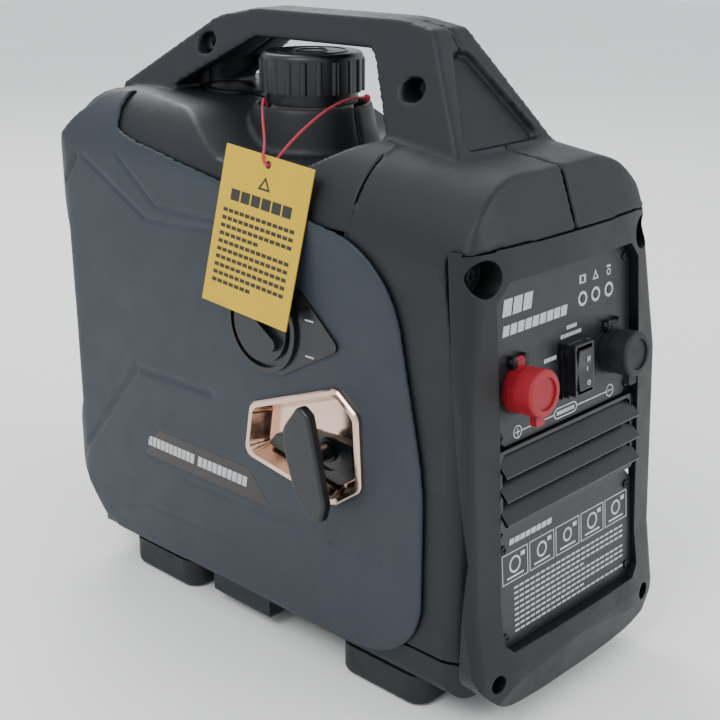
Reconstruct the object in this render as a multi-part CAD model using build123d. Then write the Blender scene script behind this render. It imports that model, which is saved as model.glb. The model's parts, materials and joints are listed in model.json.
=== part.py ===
from build123d import *
import math
import os

# Portable suitcase generator. Millimetres. X runs across, Y along and Z up.
# X = 0 is the seam between the two halves, the control panel looks along -Y,
# and the rubber feet stand on Z = 0. Heights below are taken from a level
# FOOT_DROP above the floor, and write() lifts every piece by that amount.

# ---- casing -----------------------------------------------------------------
COVER_HALF = 105.0       # outer face of each side cover
WALL = 3.5               # moulded wall thickness
FIT = 0.3                # gap between neighbouring mouldings
SHELL_HALF = COVER_HALF - WALL - FIT
TOP_REAR = 393.0         # top of the shell behind the handle
TOP_SADDLE = 357.0       # lowest point of the shell beside the filler
SHOULDER = 50.0          # radius between the side and the top
TRAY_BOTTOM = 18.0       # underside of the tray, above the feet
TRAY_TOP = 44.0          # seam between the tray and the shells
REAR = 212.0             # rear wall of the shells
FOOT_DROP = 7.0          # the feet reach this far below the working level
BEZEL_TOP = 331.0        # seam between the bezel and the shells
FRONT_LEAN = (0, 14.5, 39.5)   # direction of the shell's front above that seam
FRONT_FALL = (0, 1, 0.12)      # direction of its top, rising to the rear

# ---- handle -----------------------------------------------------------------
HANDLE_TOP = 457.0
GRIP_UNDER = 436.0
BADGE_DEPTH = 7.0        # floor of the recess in the front slope
WELL_DEPTH_X = 15.0      # floor of the screw wells, from the seam

# ---- control end ------------------------------------------------------------
PANEL_TILT = 4.7         # degrees, the top leans back
PANEL_Y = -207.0         # plate face at the height of the next line
PANEL_Z = 205.0
PANEL_HALF = 80.0
PLATE = 2.5
SOCKET_X = 53.7
SOCKET_UP = 30.0         # socket centres above PANEL_Z
LAMP_UP = 73.5           # row of lamps above PANEL_Z
SWITCH_X = 8.0
SWITCH_UP = 29.0
SWITCH_PIN_OUT = 6.0     # rocker's pin in front of the plate
SWITCH_STEPS = [(30, 40, 0, 3), (26, 38, 3, 7), (22, 36, 7, 11)]  # width, height, from, to

# ---- filler -----------------------------------------------------------------
FILLER_Y = 36.0
CAP_R = 40.0
CAP_BOTTOM = 398.5
CAP_TOP = 427.0
NECK_R = 31.0
COLLAR_RIM = 390.0
GAUGE_Y = 129.0

# ---- engine -----------------------------------------------------------------
CRANK_Z = 121.0
CRANK_R = 10.0
BEARING_GAP = 0.05       # running clearance on radius
PULLEY_R = 45.0
ROPE_Y = -74.0
ROPE_Z = CRANK_Z + PULLEY_R
ROPE_R = 1.75

# ---- starter ----------------------------------------------------------------
BAND_X = -108.5          # face of the bright band
DISH_FLOOR_X = -93.0
CUP_FACE_X = -98.0       # face of the black insert in the dish
CUP_RECESS_X = -96.0
FERRULE_X = -98.0
GRIP_X = -124.0
GRIP_THICK = 7.0

# ---- knob -------------------------------------------------------------------
KNOB_Y = -21.0
KNOB_Z = 250.0
KNOB_R = 27.0

# ---- tank -------------------------------------------------------------------
TANK_TOP = 338.0
TANK_BOTTOM = 264.0

# ---- tag --------------------------------------------------------------------
TAG_WIDTH = 84.0
TAG_HEIGHT = 112.0
TAG_THICK = 0.8
STRING_D = 2.0
STRING_POINTS = [
    (-38, 44, 387), (-43.5, 42, 397.5), (-54, 33, 392), (-68, 17, 383), (-84, -2, 375.5), (-97, -15.5, 371),
    (-105, -23, 369.5), (-107, -26.3, 365), (-101, -27, 362.5), (-96, -28, 367.5), (-85, -29.3, 377),
    (-66, -28, 387), (-43, -23, 394), (-20, -16, 397), (0, -10.6, 396.8), (12.5, -7, 395),
]

# Screw wells of the bezel: x, z, radius and the depth of the floor along Y
SCREW_WELLS = [(-87, 314, 12, -188), (87, 314, 12, -188), (-88, 38, 6.5, -204), (88, 38, 6.5, -204)]

# ---- placing planes ---------------------------------------------------------
TILT = math.radians(PANEL_TILT)
PANEL = Plane((0, PANEL_Y, PANEL_Z), x_dir=(1, 0, 0), z_dir=(0, -math.cos(TILT), math.sin(TILT)))
PANEL_OUT = Axis((0, 0, 0), PANEL.z_dir)
SLOPE = Plane((0, -129.5, 405.6), x_dir=(1, 0, 0), z_dir=(0, -0.822, 0.5695))
GAUGE = Plane((2, GAUGE_Y, 390.3), x_dir=(1, 0, 0), z_dir=(0, -0.074, 1))
TAG = Plane((-102, -27, 369.5), x_dir=(0.04, -0.9945, -0.0967), z_dir=(-0.9831, -0.0564, 0.1735))
CENTRED = (Align.CENTER, Align.CENTER, Align.MIN)

os.makedirs("parts", exist_ok=True)


def write(name, *shapes):
    """One STEP file for each node, lifted so that the feet stand on Z = 0."""
    solids = [Pos(0, 0, FOOT_DROP) * solid for shape in shapes for solid in shape.solids()]
    whole = solids[0] if len(solids) == 1 else Compound(children=solids)
    export_step(whole, f"parts/{name}.step")


def outline(points, radii=None):
    """A closed flat face, with its corners rounded where radii are given."""
    if radii is None:
        return make_face(Polyline(*points, close=True))
    return make_face(FilletPolyline(*points, radius=radii, close=True))


def grown(face, amount):
    return offset(face, amount=amount, kind=Kind.INTERSECTION) if amount else face


def across(face, x0, x1):
    """Stand a (y, z) face up and run it along X."""
    return Plane((x0, 0, 0), x_dir=(0, 1, 0), z_dir=(1, 0, 0)) * extrude(face, amount=x1 - x0)


def along(face, y0, y1):
    """Stand an (x, z) face up and run it along Y."""
    return Plane((0, y1, 0), x_dir=(1, 0, 0), z_dir=(0, -1, 0)) * extrude(face, amount=y1 - y0)


def upward(face, z0, z1):
    return Pos(0, 0, z0) * extrude(face, amount=z1 - z0)


def block(x, y, z):
    """A box from three (low, high) pairs."""
    spans = [high - low for low, high in (x, y, z)]
    middle = [(low + high) / 2 for low, high in (x, y, z)]
    return Pos(*middle) * Box(*spans)


def rod(start, direction, radius, length):
    return Plane(start, z_dir=direction) * Cylinder(radius, length, align=CENTRED)


def tube(start, direction, outer, inner, length):
    return rod(start, direction, outer, length) - rod(start, direction, inner, length)


def mirrored(shape):
    return mirror(shape, about=Plane.YZ)


# ---- casing envelopes ---------------------------------------------------------
def shell_side(amount=0.0):
    """Side outline of the black shells: a saddle beside the filler, sloped down at the front."""
    points = [
        (-212, TRAY_BOTTOM), (-212, 130), (-180, 327), (-212, 331.2), (-194.5, 371), (-160, 376.5),
        (-84, 383), (-38, TOP_SADDLE), (30, TOP_SADDLE), (84, 387), (165, TOP_REAR),
        (202, TOP_REAR - 2), (REAR, 352), (REAR, 70), (203, TRAY_BOTTOM),
    ]
    radii = [4, 20, 2, 1, 7, 60, 50, 45, 45, 70, 40, 16, 30, 30, 8]
    return grown(outline(points, radii), amount)


def section(half, top, shoulder, bottom):
    """Front view of the casing: upright sides with big round shoulders."""
    points = [(-half, bottom), (-half, top), (half, top), (half, bottom)]
    return outline(points, [10, shoulder, shoulder, 10])


def shell_plan(half, amount=0.0):
    """Top view: round rear corners and a bowed front."""
    points = [(half, REAR), (-half, REAR), (-half, -202), (0, -211), (half, -202)]
    return grown(outline(points, [26, 26, 20, 420, 20]), amount)


def front_plan(half, corner, side, middle, radius):
    """Top view of a bowed front: nearly flat in the middle, falling back at the corners."""
    points = [(half, 0), (-half, 0), (-half, corner), (-72, side), (0, middle), (72, side), (half, corner)]
    return outline(points, [2, 2, radius, 90, 600, 90, radius])


def front_limits(inset):
    """Leaning prisms that bow the shell's front and round its top corners."""
    plan = grown(front_plan(SHELL_HALF, -198.5, -206.3, -209.3, 22), -inset)
    bowed = extrude(Pos(0, 0, BEZEL_TOP) * plan, amount=110, dir=FRONT_LEAN)
    bowed = bowed + block((-110, 110), (-240, 0), (0, BEZEL_TOP))
    crown = section(SHELL_HALF - inset, 365.8 - inset, 62 - inset, 0)
    start = Plane((0, -240, 0), x_dir=(1, 0, 0), z_dir=(0, -1, 0))
    return bowed, extrude(start * crown, amount=520, dir=FRONT_FALL)


def envelope(inset):
    """The black casing's outer form, drawn in by inset."""
    body = across(shell_side(-inset), -130, 130)
    front = section(SHELL_HALF - inset, TOP_REAR + 1 - inset, SHOULDER - inset, TRAY_BOTTOM + inset)
    body = body & along(front, -240, 240)
    body = body & upward(shell_plan(SHELL_HALF + 0.4, -inset), 0, 430)
    bowed, crown = front_limits(inset)
    rear_part = body & block((-130, 130), (-100, 260), (0, 430))
    front_part = body & block((-130, 130), (-260, -100), (0, 430))
    return rear_part + (front_part & bowed & crown)


# ---- side covers ----------------------------------------------------------------
def cover_outline(amount=0.0):
    """Side cover in (y, z): a curved front edge and a waisted rear edge."""
    points = [
        (-170, 29), (-170.5, 170), (-138, 320), (131, 362.6), (150, 368), (164, 394), (185, 391),
        (209, 370), (233, 343), (230, 316), (217, 282), (216, 128), (238, 86), (214, 56), (192, 31), (171, 24),
    ]
    radii = [56, 250, 75, 20, 8, 6, 8, 12, 8, 10, 30, 30, 8, 12, 12, 10]
    return grown(outline(points, radii), amount)


def cover_plan(amount):
    points = [(COVER_HALF, 238), (-COVER_HALF, 238), (-COVER_HALF, -190), (COVER_HALF, -190)]
    return grown(outline(points, [30, 30, 3, 3]), amount)


def cover_form(inset):
    form = across(cover_outline(-inset), -COVER_HALF + inset, -66)
    top = section(COVER_HALF - inset, TOP_REAR + 5 - inset, SHOULDER + 4 - inset, 5)
    return form & along(top, -240, 240) & upward(cover_plan(-inset), 0, 430)


def starter_outline(amount=0.0):
    """Irregular rounded hexagon of the starter's bright band, in (y, z)."""
    points = [(2.5, 144.5), (-5, 187), (-93, 220.5), (-114.5, 205), (-117.5, 151), (-90, 131)]
    sharp = grown(outline(points), amount)
    return fillet(sharp.vertices(), 9)


def knob_outline(amount=0.0):
    """Teardrop plate round the knob, in (y, z)."""
    points = [(18, 250), (-6, 289), (-60, 281), (-97, 248), (-34, 213), (2, 222)]
    return grown(outline(points, [20, 22, 12, 5, 26, 22]), amount)


def side_cover():
    """One cover as a skin with a turned-in edge."""
    return cover_form(0) - cover_form(WALL) - envelope(-FIT)


def side_cover_left():
    """The starter's side, cut for its cup and for the knob's stem, with a shallow bed for the decal."""
    cover = side_cover() - across(starter_outline(-2.6), -120, -60)
    cover = cover - rod((-120, KNOB_Y, KNOB_Z), (1, 0, 0), 9.5, 40)
    return cover - across(decal_outline(0.4), -COVER_HALF - 1, -COVER_HALF + 0.8)


def side_decal():
    return across(decal_outline(), -COVER_HALF + 0.2, -COVER_HALF + 0.8)


def decal_outline(amount=0.0):
    return grown(outline([(130, 106), (110, 131.5), (2, 131.5), (-22.5, 106)]), amount)


def build_casing():
    """Tray, two shells with the handle halves, side covers and rear cover."""
    outer = envelope(0)
    inner = envelope(WALL)
    skin = outer - inner
    floor = block((-90, 90), (-200, 196), (TRAY_BOTTOM + WALL, TRAY_BOTTOM + WALL + 2))

    tray = (skin & block((-120, 120), (-230, 230), (0, TRAY_TOP - FIT / 2))) + (floor & outer)
    bump = block((-96, 96), (-8, 58), (0, TRAY_BOTTOM + 1))
    bump = chamfer(bump.edges().group_by(Axis.Z)[0], 5)
    tray = tray + bump
    tray = tray - block((-88, 88), (-240, -201), (TRAY_BOTTOM + 10, 60))
    for x, z, radius, floor_y in SCREW_WELLS:
        tray = tray - rod((x, -215, z), (0, 1, 0), 2.2, 30)
    for y in (-100, 20, 120):
        for x in (-30, 30):
            tray = tray - block((x - 22, x + 22), (y - 3, y + 3), (0, 30))

    upper = skin & block((-120, 120), (-230, 230), (TRAY_TOP + FIT / 2, 420))
    rear_window = along(outline([(-64, 66), (-64, 322), (64, 322), (64, 66)], 10), 190, 230)
    panel_window = block((-88, 88), (-240, -170), (TRAY_BOTTOM + 10, 322))
    upper = upper - rear_window - panel_window
    upper = upper - rod((0, FILLER_Y, 330), (0, 0, 1), 47.0, 80)
    upper = upper + handle_block() + filler_collar() - rod((0, FILLER_Y, 330), (0, 0, 1), NECK_R + 5, 58.5)
    upper = upper - handle_cuts() - gauge_seat()
    for x, z, radius, floor_y in SCREW_WELLS:
        upper = upper - rod((x, -215, z), (0, 1, 0), 2.2, 45)
    left = upper & block((-130, -FIT / 2), (-260, 260), (0, 480))
    right = upper & block((FIT / 2, 130), (-260, 260), (0, 480))
    left = left - across(starter_outline(-2.5), -120, -75) - rod((-120, KNOB_Y, KNOB_Z), (1, 0, 0), 9.5, 40)
    return tray, left, right


def filler_collar():
    """Tapered collar round the filler, open in the middle."""
    cone = Pos(0, FILLER_Y, 345) * Cone(54, 45, COLLAR_RIM - 345, align=CENTRED)
    cone = fillet(cone.edges().sort_by(Axis.Z)[-1:], 2.5)
    well = Pos(0, FILLER_Y, 356) * Cylinder(41.5, 60, align=CENTRED)
    return cone - well


# ---- handle -----------------------------------------------------------------------
def handle_block():
    """Side view of the handle, narrowed towards the bar like a long roof."""
    outer = outline(
        [(-160, 362), (-98, 451.5), (-64, HANDLE_TOP), (78, HANDLE_TOP), (121, 449), (213, 391), (196, 372),
         (-120, 362)],
        [2, 7, 60, 40, 30, 4, 4, 2])
    opening = outline(
        [(-100, 340), (-82, 385), (-49, GRIP_UNDER), (74, GRIP_UNDER), (158, 390), (150, 340)],
        [2, 20, 12, 16, 8, 2])
    roof = outline([(-62, 355), (-14, HANDLE_TOP + 2), (14, HANDLE_TOP + 2), (62, 355)], [2, 6, 6, 2])
    handle = (across(outer, -70, 70) - across(opening, -71, 71)) & along(roof, -230, 230)
    return handle - envelope(2.0)


def well_places():
    return [(-95, 413), (125, 428)]


def handle_cuts():
    """Badge recess on the front slope and the screw wells in the left side."""
    badge = outline([(-42, -32), (-8, 38), (8, 38), (42, -32)], [5, 3, 3, 5])
    cuts = SLOPE * (Pos(0, 0, -BADGE_DEPTH) * extrude(badge, amount=20))
    for y, z in well_places():
        oval = Pos(y, z) * SlotOverall(20, 15)
        cuts = cuts + across(Plane.XY * oval.face(), -80, -WELL_DEPTH_X)
        cuts = cuts + rod((-WELL_DEPTH_X - 1, y, z), (1, 0, 0), 2.1, 34)
    return cuts


def gauge_seat():
    bore = Pos(0, 0, -50) * Cylinder(22.3, 60, align=CENTRED)
    return GAUGE * (bore + Pos(0, 0, -0.6) * Cylinder(24.8, 30, align=CENTRED))


# ---- control end ---------------------------------------------------------------------
def up(z):
    """Height along the tilted panel for a height above the floor."""
    return (z - PANEL_Z) / math.cos(TILT)


def panel_face(low, high, half, cut, radius=2.0):
    """A rectangle on the panel with its corners cut off."""
    a, b = up(low), up(high)
    points = [
        (-half, a + cut), (-half, b - cut), (-half + cut, b), (half - cut, b),
        (half, b - cut), (half, a + cut), (half - cut, a), (-half + cut, a),
    ]
    return outline(points, [radius] * 8)


def on_panel(face, w0, w1):
    """Extrude a panel face between two depths, outward positive."""
    return PANEL * (Pos(0, 0, w0) * extrude(face, amount=w1 - w0))


def bezel_form():
    """Outer form of the bezel: bowed, flared towards a rounded chin."""
    side = outline(
        [(-184, 330.7), (-213, BEZEL_TOP), (-225, 66), (-231, 42), (-223, 5), (-205, 5), (-211.5, 130)],
        [0.5, 1, 30, 12, 8, 2, 20])
    front = outline(
        [(-101.5, 333), (-108, 250), (-109.6, 180), (-109.3, 110), (-107.5, 40), (-80, 14), (0, 5.5), (80, 14),
         (107.5, 40), (109.3, 110), (109.6, 180), (108, 250), (101.5, 333)],
        [2, 150, 200, 200, 25, 50, 300, 50, 25, 200, 200, 150, 2])
    levels = [
        (0, (109.6, -224, -229.5, -232, 12)), (42, (109.6, -223, -228.5, -231, 12)),
        (90, (109.6, -215.5, -220.5, -222.5, 11)), (226, (109, -209, -213.3, -214.8, 8)),
        (BEZEL_TOP, (SHELL_HALF, -198.5, -206.3, -209.3, 22)),
    ]
    plans = [Pos(0, 0, z) * front_plan(*sizes) for z, sizes in levels]
    form = loft([plan.faces()[0] for plan in plans], ruled=True)
    return across(side, -120, 120) & along(front, -240, -170) & form


def front_bezel():
    outer = bezel_form()
    lower = block((-120, 120), (-240, -150), (0, BEZEL_TOP))
    hollow = on_panel(panel_face(15, 240, 103, 10), -60, -7) + on_panel(panel_face(200, 326, 92, 12), -60, -7)
    bezel = outer - hollow
    for x, z, radius, floor_y in SCREW_WELLS:
        bezel = bezel + (rod((x, floor_y + 6, z), (0, -1, 0), radius + 2, 50) & outer)
    bezel = bezel - on_panel(panel_face(55, 309, PANEL_HALF, 12), -PLATE, 40)
    bezel = bezel - on_panel(panel_face(55, 140, PANEL_HALF, 8), -PLATE, 40)
    bezel = bezel - on_panel(panel_face(62, 302, PANEL_HALF - 8, 12), -20, 0)
    for x, z, radius, floor_y in SCREW_WELLS:
        bezel = bezel - rod((x, floor_y, z), (0, -1, 0), radius, 60) - rod((x, floor_y + 14, z), (0, -1, 0), 2.2, 30)
    for x, v in plate_screw_places() + guide_screw_places():
        bezel = bezel - panel_rod(x, v, -12, 0, 1.6)
    return (bezel & lower) - envelope(-FIT)


def circle_at(x, v, radius):
    return Pos(x, v) * Circle(radius).face()


def control_plate():
    plate = on_panel(panel_face(198.5, 309 - FIT, PANEL_HALF - FIT, 12), -PLATE, 0)
    for x in (-SOCKET_X, SOCKET_X):
        plate = plate - on_panel(circle_at(x, SOCKET_UP, 13.2), -5, 5)
    plate = plate - on_panel(Pos(SWITCH_X, SWITCH_UP) * Rectangle(21.4, 35).face(), -5, 5)
    for x, v in led_places():
        plate = plate - on_panel(circle_at(x, v, 3.1), -5, 5)
    for x, v in plate_screw_places():
        plate = plate - on_panel(circle_at(x, v, 1.6), -5, 5)
    return plate


def led_places():
    return [(x, LAMP_UP) for x in (22, 37.5, 53.5)]


def plate_screw_places():
    return [(x, up(z)) for z in (298, 206) for x in (-73, 73)]


def guide_screw_places():
    return [(x, up(z)) for z in (128, 64) for x in (-73, 73)]


def intake_louvres():
    """Three sloping slats between two side rails."""
    half = PANEL_HALF - FIT
    rails = on_panel(panel_face(141, 197.5, half, 4), -PLATE, 3)
    rails = rails - on_panel(panel_face(144, 195, half - 5, 3), -5, 8)
    slats = None
    for z in (150, 166.5, 183):
        v = up(z)
        profile = [(v - 3, 8.5), (v - 1, 9.5), (v + 12, -1.5), (v + 9, -2.5)]
        slat = Plane(PANEL.origin, x_dir=PANEL.y_dir, z_dir=(1, 0, 0)) * Pos(0, 0, -half + 2) * extrude(
            outline(profile, [0.8] * 4), amount=2 * (half - 2))
        slats = slat if slats is None else slats + slat
    return rails + slats


def guide_plate():
    plate = on_panel(panel_face(55 + FIT, 139.5, PANEL_HALF - FIT, 8), -PLATE, 0)
    for x, v in guide_screw_places():
        plate = plate - on_panel(circle_at(x, v, 1.6), -5, 5)
    return plate


def panel_rod(x, v, w0, w1, radius):
    return on_panel(circle_at(x, v, radius), w0, w1)


def socket_body(x):
    """Output socket: flange behind the plate, threaded lip in front and a blind contact hole."""
    body = panel_rod(x, SOCKET_UP, -22, 6, 12.5) + panel_rod(x, SOCKET_UP, -6, -PLATE - FIT, 17)
    body = body - panel_rod(x, SOCKET_UP, -16, 7, 9)
    body = body + panel_rod(x, SOCKET_UP, 0, 0.6, 17.4)
    ears = on_panel(Pos(x, SOCKET_UP + 18) * RectangleRounded(16, 10, 1.5).face(), 0, 4.8)
    ears = ears - on_panel(Pos(x, SOCKET_UP + 20) * Rectangle(8.6, 16).face(), 0.6, 9)
    ears = ears - panel_rod(x, SOCKET_UP, 0.6, 9, 17.1)
    return body + ears - hinge_rod(x, 1.55) - panel_rod(x, SOCKET_UP, -16, 7, 9)


def hinge_rod(x, radius):
    line = PANEL * Pos(x - 8.5, SOCKET_UP + 20, 2.6) * (Rot(0, 90, 0) * Cylinder(radius, 17, align=CENTRED))
    return line


def socket_contact(x):
    contact = panel_rod(x, SOCKET_UP, -16, 3, 3.5)
    return contact + panel_rod(x, SOCKET_UP, -16, -14, 8.9)


def socket_cap(x):
    """Soft cap over a socket, with a grip rim, a hinge lug on top and a pull tab below."""
    cap = panel_rod(x, SOCKET_UP, 0.9, 24, 16)
    cap = fillet(cap.edges().sort_by(PANEL_OUT)[-1:], 2.5)
    groove = panel_rod(x, SOCKET_UP, 7, 10, 17) - panel_rod(x, SOCKET_UP, 7, 10, 14.6)
    cap = cap - groove - panel_rod(x, SOCKET_UP, 0, 7.5, 13.1)
    cap = cap - panel_rod(x, SOCKET_UP, 22.5, 30, 11)
    tab = on_panel(Pos(x, SOCKET_UP - 18) * RectangleRounded(9, 9, 2).face(), 14, 19)
    lug = on_panel(Pos(x, SOCKET_UP + 17.4) * Rectangle(8, 5.2).face(), 1.2, 5)
    lug = lug + PANEL * Pos(x - 4, SOCKET_UP + 20, 2.6) * (Rot(0, 90, 0) * Cylinder(1.9, 8, align=CENTRED))
    cap = cap + tab + (lug - panel_rod(x, SOCKET_UP, 0, 9, 13.1))
    return cap - hinge_rod(x, 1.55)


def hinge_pins():
    return [hinge_rod(x, 1.5) & on_panel(Pos(x, SOCKET_UP + 20) * Rectangle(15, 9).face(), -2, 9)
            for x in (-SOCKET_X, SOCKET_X)]


def switch_housing():
    """Stepped surround in front of the plate and a box behind it."""
    centre = Pos(SWITCH_X, SWITCH_UP)
    housing = on_panel(centre * Rectangle(21, 34.6).face(), -24, 1)
    for width, height, low, high in SWITCH_STEPS:
        housing = housing + on_panel(centre * RectangleRounded(width, height, 2).face(), low, high)
    housing = housing - on_panel(centre * Rectangle(17, 33).face(), -14, 12)
    return housing - switch_pin(1.3)


def switch_pin(radius):
    line = Rot(0, 90, 0) * Cylinder(radius, 20, align=CENTRED)
    return PANEL * Pos(SWITCH_X - 10, SWITCH_UP, SWITCH_PIN_OUT) * line


def rocker():
    """See-saw button on its pin, hollowed face either side of the middle."""
    v = SWITCH_UP
    points = [(v - 13.5, -3), (v - 14.4, 12.6), (v, 10.8), (v + 14.4, 12.6), (v + 13.5, -3)]
    side = Plane(PANEL.origin, x_dir=PANEL.y_dir, z_dir=(1, 0, 0)) * Pos(0, 0, SWITCH_X - 8)
    shape = side * extrude(outline(points, [3, 1, 20, 1, 3]), amount=16)
    return shape - switch_pin(1.3)


# ---- starter ---------------------------------------------------------------------------
def dish_run(face, x0, depth, taper):
    """Run a (y, z) face along +X, drawing it in as it goes."""
    return Plane((x0, 0, 0), x_dir=(0, 1, 0), z_dir=(1, 0, 0)) * extrude(face, amount=depth, taper=taper)


def starter_bezel():
    """Bright pressed dish: a flat band on the cover and sloping walls down to its floor."""
    band = across(starter_outline(0), BAND_X, -COVER_HALF)
    band = chamfer(band.edges().filter_by(lambda e: e.center().X < BAND_X + 0.1), 1.2)
    dish = band + dish_run(starter_outline(-3), -COVER_HALF, DISH_FLOOR_X + 1.8 + COVER_HALF, 18)
    dish = dish - dish_run(starter_outline(-4.5), BAND_X - 0.1, DISH_FLOOR_X - BAND_X + 0.1, 20)
    return dish - rod((DISH_FLOOR_X - 1, ROPE_Y, ROPE_Z), (1, 0, 0), 6, 10)


def starter_cup():
    """Black insert on the dish's floor, recessed round the rope."""
    points = [
        (-6.1, 145.4), (-21.2, 163.6), (-57.6, 175.4), (-77.8, 176.9), (-99.3, 175.9), (-102.9, 151),
        (-94.5, 141.7), (-77.4, 132.5), (-67.5, 131.5), (-32.1, 136.2),
    ]
    face = outline(points) & starter_outline(-10.8)
    plate = across(face, CUP_FACE_X + 1, DISH_FLOOR_X) + across(grown(face, -1), CUP_FACE_X, CUP_FACE_X + 1)
    plate = plate - rod((CUP_FACE_X - 1, ROPE_Y, ROPE_Z), (1, 0, 0), 15, CUP_RECESS_X - CUP_FACE_X + 1)
    return plate - rod((CUP_FACE_X - 1, ROPE_Y, ROPE_Z), (1, 0, 0), 6, 10)


def rope_ferrule():
    flange = rod((FERRULE_X, ROPE_Y, ROPE_Z), (1, 0, 0), 9, CUP_RECESS_X - FERRULE_X)
    barrel = rod((CUP_RECESS_X, ROPE_Y, ROPE_Z), (1, 0, 0), 5.95, 7)
    return flange + barrel - rod((FERRULE_X - 5, ROPE_Y, ROPE_Z), (1, 0, 0), ROPE_R + 0.7, 20)


def starter_grip():
    """Leaf-shaped pull with a stem that seats in front of the ferrule."""
    points = [(-76, 209), (-60, 188), (-61, 172), (-71, 141), (-86, 125), (-97, 127), (-101, 140), (-94, 170),
              (-86, 203)]
    leaf = across(outline(points, [6, 10, 20, 12, 5, 5, 10, 40, 5]), GRIP_X - GRIP_THICK / 2, GRIP_X + GRIP_THICK / 2)
    leaf = fillet(leaf.edges().filter_by(lambda e: e.center().X < GRIP_X - GRIP_THICK / 2 + 0.01), 2.5)
    stem = rod((GRIP_X, ROPE_Y, ROPE_Z), (1, 0, 0), 10, 14)
    stem = stem + rod((GRIP_X, ROPE_Y, ROPE_Z), (1, 0, 0), 6.5, FERRULE_X - 0.5 - GRIP_X)
    return leaf + stem - rod((GRIP_X + 8, ROPE_Y, ROPE_Z), (1, 0, 0), ROPE_R, 60)


def starter_rope():
    """Runs from the top of the pulley through the ferrule into the grip."""
    return rod((GRIP_X + 8, ROPE_Y, ROPE_Z), (1, 0, 0), ROPE_R, -GRIP_X - 8)


# ---- knob on the side ---------------------------------------------------------------------
def knob_plate():
    plate = across(knob_outline(), -COVER_HALF - 2, -COVER_HALF)
    plate = plate + tube((-COVER_HALF, KNOB_Y, KNOB_Z), (-1, 0, 0), 35, 31, 5)
    return plate - rod((-COVER_HALF - 9, KNOB_Y, KNOB_Z), (1, 0, 0), 6 + BEARING_GAP, 20)


def fuel_knob():
    disc = rod((-COVER_HALF - 2.3, KNOB_Y, KNOB_Z), (-1, 0, 0), KNOB_R, 3.2)
    bar = across(outline([(-23, -6), (-23, 6), (23, 4), (23, -4)], [5, 5, 3.5, 3.5]), 0, 5)
    bar = Pos(-COVER_HALF - 10.2, KNOB_Y, KNOB_Z) * Rot(35, 0, 0) * bar
    return disc + bar + rod((-COVER_HALF - 3, KNOB_Y, KNOB_Z), (1, 0, 0), 6, 46)


def fuel_valve():
    body = block((-61.8, -46), (KNOB_Y - 12, KNOB_Y + 12), (KNOB_Z - 11, KNOB_Z + 9))
    body = fillet(body.edges().filter_by(Axis.X), 3)
    return body + rod((-50, KNOB_Y, KNOB_Z - 4), (1, 0, 0), 4, 12)


# ---- filler ------------------------------------------------------------------------------
def fuel_cap():
    """Ribbed screw cap: grip ring above, hollow skirt over the neck."""
    cap = Pos(0, FILLER_Y, CAP_BOTTOM) * Cylinder(CAP_R - 1.5, CAP_TOP - CAP_BOTTOM, align=CENTRED)
    cap = fillet(cap.edges().sort_by(Axis.Z)[-1:], 4)
    rib = Cylinder(3.2, CAP_TOP - CAP_BOTTOM - 5, align=CENTRED)
    for place in PolarLocations(CAP_R - 3.2, 20):
        cap = cap + Pos(0, FILLER_Y, CAP_BOTTOM) * place * rib
    cap = cap + Pos(0, FILLER_Y, CAP_BOTTOM - 9) * Cylinder(NECK_R + 3.6, 12, align=CENTRED)
    return cap - Pos(0, FILLER_Y, CAP_BOTTOM - 20) * Cylinder(NECK_R + 0.35, 36, align=CENTRED)


def fuel_neck():
    return tube((0, FILLER_Y, TANK_TOP), (0, 0, 1), NECK_R, 24, 411 - TANK_TOP)


def gauge_can():
    """Sunken fuel gauge: a can with a rim and a dial floor."""
    can = Pos(0, 0, -16) * Cylinder(22, 16, align=CENTRED) + Cylinder(24.5, 2.2, align=CENTRED)
    can = can - Pos(0, 0, -6) * Cylinder(18, 30, align=CENTRED)
    return GAUGE * (can + Pos(0, 0, -8) * Cylinder(1.5, 5.4, align=CENTRED))


def gauge_needle():
    needle = Pos(0, 7, -4.6) * Box(2, 18, 0.8, align=CENTRED) + Pos(0, 0, -4.8) * Cylinder(3.2, 1.6, align=CENTRED)
    return GAUGE * (needle - Pos(0, 0, -8) * Cylinder(1.5 + BEARING_GAP, 12, align=CENTRED))


def gauge_window():
    return GAUGE * (Pos(0, 0, -1.2) * Cylinder(18, 1.5, align=CENTRED))


# ---- engine and what it carries -------------------------------------------------------------
def fuel_tank():
    tank = block((-84, 84), (-28, 182), (TANK_BOTTOM, TANK_TOP))
    tank = fillet(tank.edges(), 14)
    return tank - fillet(block((-81.5, 81.5), (-25.5, 179.5), (TANK_BOTTOM + 2.5, TANK_TOP - 2.5)).edges(), 11)


def crankcase():
    case = block((-46, 50), (-18, 72), (78, 168)) + block((-58, 62), (-22, 76), (62, 79))
    case = fillet(case.edges().filter_by(Axis.Y), 5)
    case = case - rod((0, -30, CRANK_Z), (0, 1, 0), 20, 120)
    return case - rod((0, -8, CRANK_Z), (0, 1, 0), 38, 70) - block((-24, 24), (4, 52), (150, 175))


def crank_bearings():
    return [tube((0, y, CRANK_Z), (0, 1, 0), 20, CRANK_R + BEARING_GAP, 9) for y in (-18, 63)]


def crankshaft():
    shaft = rod((0, -66, CRANK_Z), (0, 1, 0), CRANK_R, 50) + rod((0, -18, CRANK_Z), (0, 1, 0), CRANK_R, 34)
    shaft = shaft + rod((0, 40, CRANK_Z), (0, 1, 0), CRANK_R, 38)
    for y in (10, 34):
        shaft = shaft + rod((0, y, CRANK_Z), (0, 1, 0), 32, 9)
    return shaft + rod((0, 15, CRANK_Z + 20), (0, 1, 0), 7, 22)


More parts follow.
